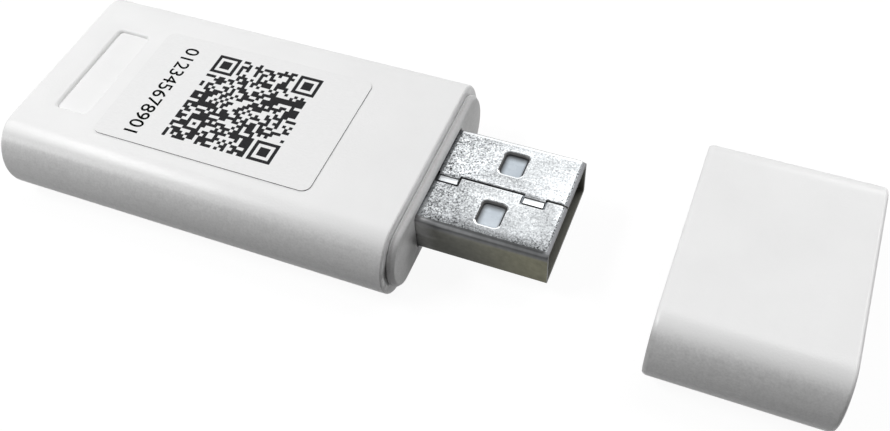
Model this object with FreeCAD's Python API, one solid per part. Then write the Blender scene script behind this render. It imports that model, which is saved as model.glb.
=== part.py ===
import FreeCAD, Part
import math
import os

# USB stick with a wireless module: a closed plastic sleeve, an end collar that holds the plug,
# a circuit board inside, and a cap that has been pulled off along the plug's axis.
# Millimetres. The origin is the centre of the sleeve's bottom face, +X points to the plug's tip,
# +Z is up through the label.

os.makedirs("parts", exist_ok=True)
V = FreeCAD.Vector

# Housing sleeve
housing_length = 42.15
body_width = 24.8
body_thickness = 8.8
side_bulge = 3.6            # how far a long side stands out past the flat top
shoulder_share = 0.875      # round where the top turns into the side, as a share of side_bulge
housing_wall = 1.1
end_edge_radius = 0.3       # round of the closed end's outer edge
mouth_edge_bevel = 0.15     # bevel of the open end's outer edge
recess_length = 3.65        # shallow bare pocket on top, along X
recess_width = 11.95        # the same pocket, along Y
recess_depth = 0.35
recess_from_end = 3.65      # closed end to the pocket's near edge
recess_off_centre = -0.22
recess_corner_radius = 0.5
recess_rim_bevel = 0.2      # where the sleeve's top turns down into the pocket

# End collar
collar_step = 0.9           # how far the collar's nose lies inside the sleeve's outline
nose_length = 0.8           # how far the nose stands out of the sleeve
nose_edge_bevel = 0.3
nose_seam = 0.1             # open line between the sleeve's rim and the nose
spigot_length = 5.5         # part of the collar inside the sleeve
spigot_wall = 0.6
collar_front_wall = 2.0     # wall behind the nose that the plug passes through
sliding_clearance = 0.05    # spigot to sleeve, all round
snap_rib_height = 0.3
snap_rib_length = 0.8
snap_rib_width = 8.0
snap_rib_from_rear = 1.2

# USB plug
plug_width = 12.0
plug_height = 4.5
plug_reach = 12.9           # collar's nose to the plug's tip
plug_total_length = 18.75
plug_rise = 0.25            # plug's axis above the sleeve's middle
shell_thickness = 0.3
shell_bend_radius = 0.36
lip_length = 0.65           # the top sheet's front end dips over this length
lip_drop = 0.2
collar_opening_gap = 0.12   # open line round the plug in the collar
window_length = 2.15
window_width = 2.6
window_radius = 0.4
window_roll = 0.18          # how far the punch rolls the windows' outer edges in
window_spacing = 6.4        # centre to centre across the plug
window_from_tip = 6.43      # tip to the windows' centres
seam_gap = 0.2
tab_length = 2.25
tab_depth = 1.05            # how far a locking tab reaches past the seam
tab_front_from_tip = (2.05, 10.6)
tab_dip = 0.07              # how far a tab's free edge is bent down
score_from_seam = 0.3       # seam's line to the line where a tab is bent
score_width = 0.12
score_depth = 0.12
leg_length = 2.0            # wing of the shell that is soldered to the board
leg_reach = 1.5
leg_from_rear = 0.4

# Tongue and contacts
tongue_thickness = 1.84
tongue_setback = 0.8        # plug's tip to the tongue's front
tongue_side_gap = 0.05
tongue_rear_block = 2.6     # full-height block that fills the shell's rear
contact_width = 1.0
contact_thickness = 0.2
contact_pitches = (-3.5, -1.0, 1.0, 3.5)
power_contact_length = 14.6
data_contact_length = 13.6
contact_foot_length = 1.3
contact_tail_reach = 0.6    # shell's rear end to the back of the tails
contact_end_gap = 0.1       # contact's front end to the end of its seat

# Main board
board_thickness = 1.0
board_width = 19.4
board_drop = 1.35           # board's top below the plug's axis
board_end_gap = 0.6         # closed end's inner wall to the board
board_front_gap = 0.3       # board's front to the collar's wall
board_corner_radius = 1.0
notch_gap = 0.15            # plug in the board's notch
rail_gap = 0.1              # board's faces and edges to the rails
rail_height = 0.8
rail_overlap = 0.8          # how far a rail covers the board's edge
rail_end_gap = 0.3          # rails to the collar's spigot

# Radio module
module_length = 20.0
module_width = 15.0
module_thickness = 0.8
module_from_board_end = 0.3
pad_pitch = 2.0
pad_count = 7
pad_radius = 0.4
pad_first_from_front = 1.5
can_length = 13.0
can_width = 12.6
can_height = 2.0
can_sheet = 0.2
can_from_module_front = 0.7
can_fold_radius = 0.4
trace_width = 0.5
trace_thickness = 0.05
trace_pitch = 1.1
trace_turns = 5
trace_reach = 4.2
trace_from_module_end = 0.6

# Chips and small components: length along X, width along Y, height
radio_chip_size = (5.0, 5.0, 0.85)
flash_chip_size = (3.0, 4.0, 0.6)
crystal_size = (2.5, 2.0, 0.55)
chip_edge = 0.12
radio_chip_from_can_end = 2.2
flash_from_can_end = 8.8
crystal_from_can_end = 8.8
flash_offset = -2.9
crystal_offset = 3.4
chip_capacitor_size = (1.0, 0.5, 0.5)
chip_capacitor_gap = 1.2    # radio chip's side to the nearer capacitor's middle
chip_capacitor_pitch = 1.2
capacitors_per_side = 2
regulator_size = (6.5, 3.5, 1.7)
regulator_lead_width = 0.75
regulator_lead_pitch = 2.3
regulator_lead_length = 1.7
regulator_lead_thickness = 0.3
regulator_tab_width = 3.0
regulator_from_module = 1.6
regulator_offset = -5.2
tantalum_size = (3.5, 2.8, 1.9)
tantalum_edge = 0.15
tantalum_from_module = 1.6
tantalum_offsets = (1.6, 5.6)
diode_size = (1.6, 2.9, 1.1)
diode_lead_pitch = 0.95
diode_lead_width = 0.4
diode_lead_length = 0.6
diode_lead_thickness = 0.15
bead_size = (2.0, 1.25, 0.9)
bead_offset = 4.2
resistor_size = (1.0, 0.5, 0.35)
resistor_pitch = 0.9
resistor_count = 4
resistor_offset = 5.6
row_from_notch = 2.6        # board's notch to the diode, the bead and the resistors

# Label
label_length = 23.9
label_width = 15.2
label_thickness = 0.1
label_corner_radius = 0.9
label_shift = 0.1           # label's centre ahead of the sleeve's centre
label_off_centre = -0.41

# Cap
cap_wall = 0.8
cap_end_wall = 1.1
cap_end_radius = 0.5
cap_mouth_bevel = 0.2
cap_distance = 24.25        # sleeve's rim to the cap's mouth, pulled off
cap_closed_seam = 0.1       # sleeve's rim to the cap's mouth, pushed on
cap_tip_gap = 1.4           # plug's tip to the cap's inside, pushed on
grip_rib_width = 0.9
grip_rib_gap = 0.12         # rib tips to the plug
grip_rib_spacing = 7.0
grip_rib_from_mouth = 3.0

# How far a cutting shape runs past what it cuts, and how close two places count as one
overrun = 1.0
same_place = 1e-4

# Derived places
closed_end = -housing_length / 2
sleeve_rim = housing_length / 2
middle_height = body_thickness / 2
shoulder_radius = shoulder_share * side_bulge
nose_face = sleeve_rim + nose_length
plug_tip = nose_face + plug_reach
plug_rear = plug_tip - plug_total_length
plug_axis = middle_height + plug_rise
plug_top = plug_axis + plug_height / 2
plug_bottom = plug_axis - plug_height / 2
cavity_end = closed_end + housing_wall
spigot_rear = sleeve_rim - spigot_length
collar_inner_face = sleeve_rim - collar_front_wall
board_top_height = plug_axis - board_drop
board_bottom = board_top_height - board_thickness
board_rear = cavity_end + board_end_gap
board_front = collar_inner_face - board_front_gap
notch_rear = plug_rear - notch_gap
module_rear = board_rear + module_from_board_end
module_front = module_rear + module_length
module_top = board_top_height + module_thickness
can_front = module_front - can_from_module_front
can_rear = can_front - can_length
cap_mouth = sleeve_rim + cap_distance
cap_length = cap_closed_seam + nose_length + plug_reach + cap_tip_gap + cap_end_wall
cap_end = cap_mouth + cap_length


# Shapes used by several pieces

def box(x0, x1, y0, y1, z0, z1):
    return Part.makeBox(x1 - x0, y1 - y0, z1 - z0, V(x0, y0, z0))


def placed_box(x, y, z, size):
    length, width, height = size
    return box(x, x + length, y - width / 2, y + width / 2, z, z + height)


def body_outline(x, inset):
    # the stick's cross-section: flat top and bottom, and each long side three arcs that meet smoothly
    flat = body_width / 2 - side_bulge
    rise = middle_height - shoulder_radius
    side_radius = ((side_bulge ** 2 + rise ** 2 - shoulder_radius ** 2)
                   / (2 * (side_bulge - shoulder_radius)))
    half = middle_height - inset
    edges = []
    for up in (-1, 1):
        z = middle_height + up * half
        edges.append(Part.LineSegment(V(x, -flat, z), V(x, flat, z)).toShape())
    for side in (-1, 1):
        hub = V(x, side * (flat + side_bulge - side_radius), middle_height)
        meets = []
        for up in (-1, 1):
            centre = V(x, side * flat, middle_height + up * rise)
            upright = V(0, 0, up)
            outward = (centre - hub).normalize()
            between = (upright + outward).normalize()
            radius = shoulder_radius - inset
            meets.append(centre + outward * radius)
            edges.append(Part.Arc(centre + upright * radius, centre + between * radius,
                                  meets[-1]).toShape())
        furthest = hub + V(0, side * (side_radius - inset), 0)
        edges.append(Part.Arc(meets[0], furthest, meets[1]).toShape())
    return Part.Wire(Part.__sortEdges__(edges))


def body_prism(x0, x1, inset):
    return Part.Face(body_outline(x0, inset)).extrude(V(x1 - x0, 0, 0))


def rounded_outline(points, radius):
    # closed outline through the corners, each with the same round
    edges = []
    count = len(points)
    starts = []
    for i, corner in enumerate(points):
        before = (points[i - 1] - corner).normalize()
        after = (points[(i + 1) % count] - corner).normalize()
        half_angle = before.getAngle(after) / 2
        back = radius / math.tan(half_angle)
        start = corner + before * back
        end = corner + after * back
        centre = corner + (before + after).normalize() * (radius / math.sin(half_angle))
        middle = centre + (corner - centre).normalize() * radius
        edges.append(Part.Arc(start, middle, end).toShape())
        starts.append((start, end))
    for i in range(count):
        a = starts[i][1]
        b = starts[(i + 1) % count][0]
        if a.distanceToPoint(b) > same_place:
            edges.append(Part.LineSegment(a, b).toShape())
    return Part.Wire(Part.__sortEdges__(edges))


def plug_outline(x, inset, radius, drop=0):
    # the plug's rounded cross-section, `inset` inside its outer size, its top lower by `drop`
    y = plug_width / 2 - inset
    low = plug_bottom + inset
    high = plug_top - inset - drop
    corners = [V(x, -y, low), V(x, y, low), V(x, y, high), V(x, -y, high)]
    return rounded_outline(corners, radius)


def flat_plate(x0, x1, y0, y1, z0, thickness, radius):
    corners = [V(x0, y0, z0), V(x1, y0, z0), V(x1, y1, z0), V(x0, y1, z0)]
    return Part.Face(rounded_outline(corners, radius)).extrude(V(0, 0, thickness))


def edges_at_x(shape, x):
    # the edges that lie whole in the plane at x
    found = []
    for edge in shape.Edges:
        bounds = edge.BoundBox
        if abs(bounds.XMin - x) < same_place and abs(bounds.XMax - x) < same_place:
            found.append(edge)
    return found


def edges_round_opening(shape, x0, x1, y0, y1, z):
    # the edges at height z that lie within the rectangle, such as the rim of a hole or a pocket
    found = []
    for edge in shape.Edges:
        bounds = edge.BoundBox
        level = abs(bounds.ZMin - z) < same_place and abs(bounds.ZMax - z) < same_place
        along = bounds.XMin > x0 - same_place and bounds.XMax < x1 + same_place
        across = bounds.YMin > y0 - same_place and bounds.YMax < y1 + same_place
        if level and along and across:
            found.append(edge)
    return found


def chamfered_chip(x, y, z, size, edge):
    body = placed_box(x, y, z, size)
    top = z + size[2]
    rim = [e for e in body.Edges if e.BoundBox.ZMin > top - same_place]
    return body.makeChamfer(edge, rim)


# Pieces of the housing

def housing_sleeve():
    outer = body_prism(closed_end, sleeve_rim, 0)
    outer = outer.makeFillet(end_edge_radius, edges_at_x(outer, closed_end))
    outer = outer.makeChamfer(mouth_edge_bevel, edges_at_x(outer, sleeve_rim))
    cavity = body_prism(cavity_end, sleeve_rim + overrun, housing_wall)
    for side in (-1, 1):
        cavity = cavity.cut(board_rail(side))
    groove = snap_ribs(sliding_clearance)
    x0 = closed_end + recess_from_end
    x1 = x0 + recess_length
    y0 = recess_off_centre - recess_width / 2
    y1 = recess_off_centre + recess_width / 2
    floor = body_thickness - recess_depth
    recess = flat_plate(x0, x1, y0, y1, floor, recess_depth + overrun, recess_corner_radius)
    sleeve = outer.cut(cavity).cut(groove).cut(recess)
    rim = edges_round_opening(sleeve, x0, x1, y0, y1, body_thickness)
    return sleeve.makeChamfer(recess_rim_bevel, rim)


def board_rail(side):
    # channel along one side wall that the board's edge slides in
    front = spigot_rear - rail_end_gap
    low = board_bottom - rail_gap
    high = board_top_height + rail_gap
    inner = board_width / 2 - rail_overlap
    floor = board_width / 2 + rail_gap
    y0, y1 = sorted((side * inner, side * body_width / 2))
    rail = box(cavity_end, front, y0, y1, low - rail_height, high + rail_height)
    y0, y1 = sorted((side * (inner - overrun), side * floor))
    return rail.cut(box(cavity_end - overrun, front + overrun, y0, y1, low, high))


def snap_ribs(grow):
    # ribs on the spigot's top and bottom, or the grooves that they click into
    x0 = spigot_rear + snap_rib_from_rear - grow
    x1 = x0 + snap_rib_length + 2 * grow
    y = snap_rib_width / 2 + grow
    inner = housing_wall + sliding_clearance
    outer = housing_wall + sliding_clearance - snap_rib_height - grow
    top = box(x0, x1, -y, y, body_thickness - inner, body_thickness - outer)
    bottom = box(x0, x1, -y, y, outer, inner)
    return top.fuse(bottom)


def end_collar():
    nose = body_prism(sleeve_rim + nose_seam, nose_face, collar_step)
    nose = nose.makeChamfer(nose_edge_bevel, edges_at_x(nose, nose_face))
    spigot_inset = housing_wall + sliding_clearance
    spigot = body_prism(spigot_rear, sleeve_rim + nose_seam, spigot_inset)
    hollow = body_prism(spigot_rear - overrun, collar_inner_face, spigot_inset + spigot_wall)
    opening_rear = collar_inner_face - overrun
    opening_wire = plug_outline(opening_rear, -collar_opening_gap,
                                shell_bend_radius + collar_opening_gap)
    opening = Part.Face(opening_wire).extrude(V(nose_face + overrun - opening_rear, 0, 0))
    body = nose.fuse(spigot).fuse(snap_ribs(0)).cut(hollow).cut(opening)
    return body.removeSplitter()


# Pieces of the plug

def shell_solid(inset):
    # the shell's outside, or its inside when `inset` is the sheet's thickness
    radius = shell_bend_radius - inset
    lip_start = plug_tip - lip_length
    start = plug_rear if inset == 0 else plug_rear - overrun
    barrel = Part.Face(plug_outline(start, inset, radius)).extrude(V(lip_start - start, 0, 0))
    rim = plug_outline(plug_tip, inset, radius, lip_drop)
    lip = Part.makeLoft([plug_outline(lip_start, inset, radius), rim], True, True)
    if inset == 0:
        return barrel.fuse(lip)
    return barrel.fuse(lip).fuse(Part.Face(rim).extrude(V(overrun, 0, 0)))


def seam_slot():
    # straight seam along the top, stepping round each locking tab
    z0 = plug_top - shell_thickness - overrun
    z1 = plug_top + overrun
    half = seam_gap / 2
    front = plug_tip + overrun
    pieces = []
    for from_tip in tab_front_from_tip:
        tab_front = plug_tip - from_tip
        tab_rear = tab_front - tab_length
        pieces.append(box(tab_front - half, front, -half, half, z0, z1))
        pieces.append(box(tab_front - half, tab_front + half, -tab_depth - half, half, z0, z1))
        pieces.append(box(tab_rear - half, tab_front + half, -tab_depth - half, -tab_depth + half,
                          z0, z1))
        pieces.append(box(tab_rear - half, tab_rear + half, -tab_depth - half, half, z0, z1))
        front = tab_rear + half
    pieces.append(box(plug_rear - overrun, front, -half, half, z0, z1))
    return pieces[0].multiFuse(pieces[1:])


def windows_cut(shell):
    # two square windows through the top and the bottom, their outer edges rolled in by the punch
    x0 = plug_tip - window_from_tip - window_length / 2
    x1 = x0 + window_length
    for side in (-1, 1):
        y0 = side * window_spacing / 2 - window_width / 2
        y1 = y0 + window_width
        window = flat_plate(x0, x1, y0, y1, plug_bottom - overrun, plug_height + 2 * overrun,
                            window_radius)
        shell = shell.cut(window)
        rims = (edges_round_opening(shell, x0, x1, y0, y1, plug_top)
                + edges_round_opening(shell, x0, x1, y0, y1, plug_bottom))
        shell = shell.makeChamfer(window_roll, rims)
    return shell


def tab_bend(tab_front):
    # what bending a locking tab takes off its top: the score line, and a slope to its free edge
    x0 = tab_front - tab_length
    above = plug_top + overrun
    bend = -score_from_seam
    free_edge = -tab_depth
    score = box(x0, tab_front, bend - score_width / 2, bend + score_width / 2,
                plug_top - score_depth, above)
    outline = [V(x0, bend, plug_top), V(x0, free_edge, plug_top - tab_dip),
               V(x0, free_edge, above), V(x0, bend, above), V(x0, bend, plug_top)]
    slope = Part.Face(Part.makePolygon(outline)).extrude(V(tab_length, 0, 0))
    return score.fuse(slope)


def usb_shell():
    shell = windows_cut(shell_solid(0).cut(shell_solid(shell_thickness)))
    shell = shell.cut(seam_slot())
    for from_tip in tab_front_from_tip:
        shell = shell.cut(tab_bend(plug_tip - from_tip))
    for side in (-1, 1):
        inner = side * (plug_width / 2 - shell_thickness / 2)
        outer = side * (plug_width / 2 + leg_reach)
        x0 = plug_rear + leg_from_rear
        leg = box(x0, x0 + leg_length, min(inner, outer), max(inner, outer),
                  board_top_height, board_top_height + shell_thickness)
        shell = shell.fuse(leg)
    return shell.removeSplitter()


def usb_tongue():
    top = plug_top - shell_thickness
    low = top - tongue_thickness
    half = plug_width / 2 - shell_thickness - tongue_side_gap
    front = plug_tip - tongue_setback
    corner = shell_bend_radius - shell_thickness + tongue_side_gap
    blade = box(plug_rear, front, -half, half, low, top)
    long_top = [e for e in blade.Edges
                if e.BoundBox.ZMin > top - same_place and e.BoundBox.XLength > e.BoundBox.YLength]
    blade = blade.makeChamfer(corner, long_top)
    block_bottom = plug_bottom + shell_thickness
    block = box(plug_rear, plug_rear + tongue_rear_block, -half, half, block_bottom, low)
    low_edges = [e for e in block.Edges
                 if e.BoundBox.ZMax < block_bottom + same_place
                 and e.BoundBox.XLength > e.BoundBox.YLength]
    block = block.makeChamfer(corner, low_edges)
    tongue = blade.fuse(block).removeSplitter()
    for y, length in contact_layout():
        seat = box(plug_rear - overrun, plug_rear + length + contact_end_gap,
                   y - contact_width / 2, y + contact_width / 2,
                   low - contact_thickness / 2, low + contact_thickness / 2)
        tongue = tongue.cut(seat)
    return tongue


def contact_layout():
    lengths = (power_contact_length, data_contact_length,
               data_contact_length, power_contact_length)
    return list(zip(contact_pitches, lengths))


def contact(y, length):
    # strip along the tongue, a drop behind the plug and a foot on the board
    centre = plug_top - shell_thickness - tongue_thickness
    z0 = centre - contact_thickness / 2
    z1 = centre + contact_thickness / 2
    tail = plug_rear - contact_tail_reach
    near = y - contact_width / 2
    far = y + contact_width / 2
    strip = box(tail, plug_rear + length, near, far, z0, z1)
    drop = box(tail, tail + contact_thickness, near, far, board_top_height, z1)
    foot = box(tail - contact_foot_length, tail + contact_thickness, near, far,
               board_top_height, board_top_height + contact_thickness)
    return strip.fuse(drop).fuse(foot).removeSplitter()


# Boards and what they carry

def main_board():
    board = flat_plate(board_rear, board_front, -board_width / 2, board_width / 2,
                       board_bottom, board_thickness, board_corner_radius)
    notch = box(notch_rear, board_front + overrun, -plug_width / 2 - notch_gap,
                plug_width / 2 + notch_gap, board_bottom - overrun, board_top_height + overrun)
    return board.cut(notch)


def module_board():
    board = box(module_rear, module_front, -module_width / 2, module_width / 2,
                board_top_height, module_top)
    for side in (-1, 1):
        for i in range(pad_count):
            x = module_front - pad_first_from_front - i * pad_pitch
            hole = Part.makeCylinder(pad_radius, module_thickness + 2 * overrun,
                                     V(x, side * module_width / 2, board_top_height - overrun))
            board = board.cut(hole)
    return board


def antenna_trace():
    # one meander strip: bars along X joined at alternate ends
    start = module_rear + trace_from_module_end
    first = -(trace_turns - 1) * trace_pitch
    strips = []
    for i in range(2 * trace_turns):
        y = first + (i - 0.5) * trace_pitch
        strips.append(box(start, start + trace_reach, y, y + trace_width,
                          module_top, module_top + trace_thickness))
        if i:
            x = start if i % 2 else start + trace_reach - trace_width
            strips.append(box(x, x + trace_width, y - trace_pitch, y + trace_width,
                              module_top, module_top + trace_thickness))
    return strips[0].multiFuse(strips[1:]).removeSplitter()


def shield_can():
    half = can_width / 2
    outer = box(can_rear, can_front, -half, half, module_top, module_top + can_height)
    folds = [e for e in outer.Edges if e.BoundBox.ZMin > module_top + can_height - same_place]
    outer = outer.makeFillet(can_fold_radius, folds)
    inner = box(can_rear + can_sheet, can_front - can_sheet, -half + can_sheet, half - can_sheet,
                module_top - overrun, module_top + can_height - can_sheet)
    return outer.cut(inner)


def radio_chip():
    return chamfered_chip(can_rear + radio_chip_from_can_end, 0, module_top,
                          radio_chip_size, chip_edge)


def flash_chip():
    return chamfered_chip(can_rear + flash_from_can_end, flash_offset, module_top,
                          flash_chip_size, chip_edge)


def crystal():
    return chamfered_chip(can_rear + crystal_from_can_end, crystal_offset, module_top,
                          crystal_size, chip_edge)


def module_capacitors():
    x = can_rear + radio_chip_from_can_end + radio_chip_size[0] / 2
    nearest = radio_chip_size[1] / 2 + chip_capacitor_gap
    capacitors = []
    for side in (-1, 1):
        for i in range(capacitors_per_side):
            y = side * (nearest + i * chip_capacitor_pitch)
            capacitors.append(placed_box(x, y, module_top, chip_capacitor_size))
    return Part.makeCompound(capacitors)


def voltage_regulator():
    # moulded body with three leads on one side and a wide tab on the other
    length, width, height = regulator_size
    thick = regulator_lead_thickness
    rear = module_front + regulator_from_module
    middle = rear + length / 2
    body = chamfered_chip(rear, regulator_offset, board_top_height + thick / 2,
                          (length, width, height - thick / 2), chip_edge)
    reach = width / 2 + regulator_lead_length
    for i in (-1, 0, 1):
        x = middle + i * regulator_lead_pitch
        body = body.fuse(box(x - regulator_lead_width / 2, x + regulator_lead_width / 2,
                             regulator_offset - reach, regulator_offset,
                             board_top_height, board_top_height + thick))
    tab = box(middle - regulator_tab_width / 2, middle + regulator_tab_width / 2,
              regulator_offset, regulator_offset + reach,
              board_top_height, board_top_height + thick)
    return body.fuse(tab).removeSplitter()


def tantalum(offset):
    x = module_front + tantalum_from_module
    return chamfered_chip(x, offset, board_top_height, tantalum_size, tantalum_edge)


def esd_diode():
    length, width, height = diode_size
    x = notch_rear - row_from_notch - length
    body = chamfered_chip(x, 0, board_top_height + diode_lead_thickness / 2,
                          (length, width, height - diode_lead_thickness / 2), chip_edge)
    for i in (-1, 0, 1):
        y = i * diode_lead_pitch
        body = body.fuse(box(x - diode_lead_length, x + length + diode_lead_length,
                             y - diode_lead_width / 2, y + diode_lead_width / 2,
                             board_top_height, board_top_height + diode_lead_thickness))
    return body.removeSplitter()


def ferrite_bead():
    x = notch_rear - row_from_notch - bead_size[0]
    return chamfered_chip(x, bead_offset, board_top_height, bead_size, chip_edge)


def resistors():
    x = notch_rear - row_from_notch - resistor_size[0]
    return Part.makeCompound([placed_box(x, resistor_offset + i * resistor_pitch,
                                         board_top_height, resistor_size)
                              for i in range(resistor_count)])


# Label and cap

def label():
    return flat_plate(label_shift - label_length / 2, label_shift + label_length / 2,
                      label_off_centre - label_width / 2, label_off_centre + label_width / 2,
                      body_thickness, label_thickness, label_corner_radius)


def cap():
    outer = body_prism(cap_mouth, cap_end, 0)
    outer = outer.makeFillet(cap_end_radius, edges_at_x(outer, cap_end))
    outer = outer.makeChamfer(cap_mouth_bevel, edges_at_x(outer, cap_mouth))
    inner_end = cap_end - cap_end_wall
    hollow = body_prism(cap_mouth - overrun, inner_end, cap_wall)
    shell = outer.cut(hollow)
    rib_start = cap_mouth + grip_rib_from_mouth
    for side in (-1, 1):
        y = side * grip_rib_spacing / 2
        top = box(rib_start, inner_end, y - grip_rib_width / 2, y + grip_rib_width / 2,
                  plug_top + grip_rib_gap, body_thickness - cap_wall)
        bottom = box(rib_start, inner_end, y - grip_rib_width / 2, y + grip_rib_width / 2,
                     cap_wall, plug_bottom - grip_rib_gap)
        shell = shell.fuse(top).fuse(bottom)
    return shell.removeSplitter()


def save(name, shape):
    if not shape.isValid():
        print("not valid:", name)
    shape.exportStep("parts/" + name + ".step")


save("housing_sleeve", housing_sleeve())
save("end_collar", end_collar())
save("usb_shell", usb_shell())
save("usb_tongue", usb_tongue())
contact_names = ("contact_vbus", "contact_data_minus", "contact_data_plus", "contact_ground")
for contact_name, (contact_y, contact_length) in zip(contact_names, contact_layout()):
    save(contact_name, contact(contact_y, contact_length))
save("main_board", main_board())
save("module_board", module_board())
save("antenna_trace", antenna_trace())
save("shield_can", shield_can())
save("radio_chip", radio_chip())
save("flash_chip", flash_chip())
save("crystal", crystal())
save("module_capacitors", module_capacitors())
save("voltage_regulator", voltage_regulator())
save("input_capacitor", tantalum(tantalum_offsets[0]))
save("output_capacitor", tantalum(tantalum_offsets[1]))
save("esd_diode", esd_diode())
save("ferrite_bead", ferrite_bead())
save("resistors", resistors())
save("label", label())
save("cap", cap())
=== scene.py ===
import math
import random

import bpy
from mathutils import Matrix, Vector


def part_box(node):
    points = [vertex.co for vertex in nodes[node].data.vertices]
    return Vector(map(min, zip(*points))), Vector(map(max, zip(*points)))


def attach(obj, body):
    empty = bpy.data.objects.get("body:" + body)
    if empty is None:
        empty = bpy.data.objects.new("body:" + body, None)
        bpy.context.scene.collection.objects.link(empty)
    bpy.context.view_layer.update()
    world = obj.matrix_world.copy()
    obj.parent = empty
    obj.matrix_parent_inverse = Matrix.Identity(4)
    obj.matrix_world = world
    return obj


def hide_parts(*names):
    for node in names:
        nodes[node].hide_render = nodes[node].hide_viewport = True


# Looks of the USB stick: every surface finish, the print on the label, studio light and camera.
# Lengths are metres, as in the frame, and sizes given in millimetres go through mm().
# In the settings, a pair of places is where a change starts and where it ends, and two pairs are
# where it comes in and where it goes out. Places are along x, but those named Across are on y and
# those named Up are on z.

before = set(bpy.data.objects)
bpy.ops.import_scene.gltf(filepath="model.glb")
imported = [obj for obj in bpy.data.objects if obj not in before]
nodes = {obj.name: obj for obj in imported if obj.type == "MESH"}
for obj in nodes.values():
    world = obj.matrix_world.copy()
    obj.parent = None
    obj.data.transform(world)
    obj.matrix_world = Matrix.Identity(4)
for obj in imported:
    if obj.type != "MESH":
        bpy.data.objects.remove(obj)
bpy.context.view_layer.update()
finished = {}   # pieces that stand for a node, by the node's name
print("frame loaded:", len(nodes), "pieces")


def mm(value):
    return value * 0.001


def deselectAll():
    for thing in list(bpy.context.selected_objects):
        thing.select_set(False)
    bpy.context.view_layer.objects.active = None


def grey(level):
    return (level, level, level, 1.0)


# the first of two numbers where the mask is 0, the second where it is 1
def slide(mask, first, second):
    return first + (second - first) * mask


# Socket maths: a wire is a node's output, and sums on wires add Math nodes
class Wire:
    def __init__(self, recipe, socket):
        self.recipe = recipe
        self.socket = socket

    def math(self, operation, first, second=None):
        sockets = {0: first} if second is None else {0: first, 1: second}
        return self.recipe.add("ShaderNodeMath", {"operation": operation}, sockets).out()

    def __add__(self, other):
        return self.math("ADD", self, other)

    def __radd__(self, other):
        return self.math("ADD", other, self)

    def __sub__(self, other):
        return self.math("SUBTRACT", self, other)

    def __rsub__(self, other):
        return self.math("SUBTRACT", other, self)

    def __mul__(self, other):
        return self.math("MULTIPLY", self, other)

    def __rmul__(self, other):
        return self.math("MULTIPLY", other, self)

    def __truediv__(self, other):
        return self.math("DIVIDE", self, other)

    def __gt__(self, other):
        return self.math("GREATER_THAN", self, other)

    def __lt__(self, other):
        return self.math("LESS_THAN", self, other)

    def __abs__(self):
        return self.math("ABSOLUTE", self)


class AddedNode:
    def __init__(self, recipe, node):
        self.recipe = recipe
        self.node = node

    def out(self, name=0):
        return Wire(self.recipe, self.node.outputs[name])


# A node tree that is filled one node at a time
class Recipe:
    def __init__(self, tree):
        self.tree = tree

    def add(self, kind, settings=None, sockets=None):
        node = self.tree.nodes.new(kind)
        for name, value in (settings or {}).items():
            if name == "stops":
                ramp = node.color_ramp
                while len(ramp.elements) < len(value):
                    ramp.elements.new(0.5)
                for element, (place, colour) in zip(ramp.elements, value):
                    element.position = place
                    element.color = colour
            else:
                setattr(node, name, value)
        self.fill(node, sockets or {})
        return AddedNode(self, node)

    def fill(self, node, sockets):
        for name, value in sockets.items():
            if isinstance(value, Wire):
                self.tree.links.new(value.socket, node.inputs[name])
            else:
                node.inputs[name].default_value = value


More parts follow.
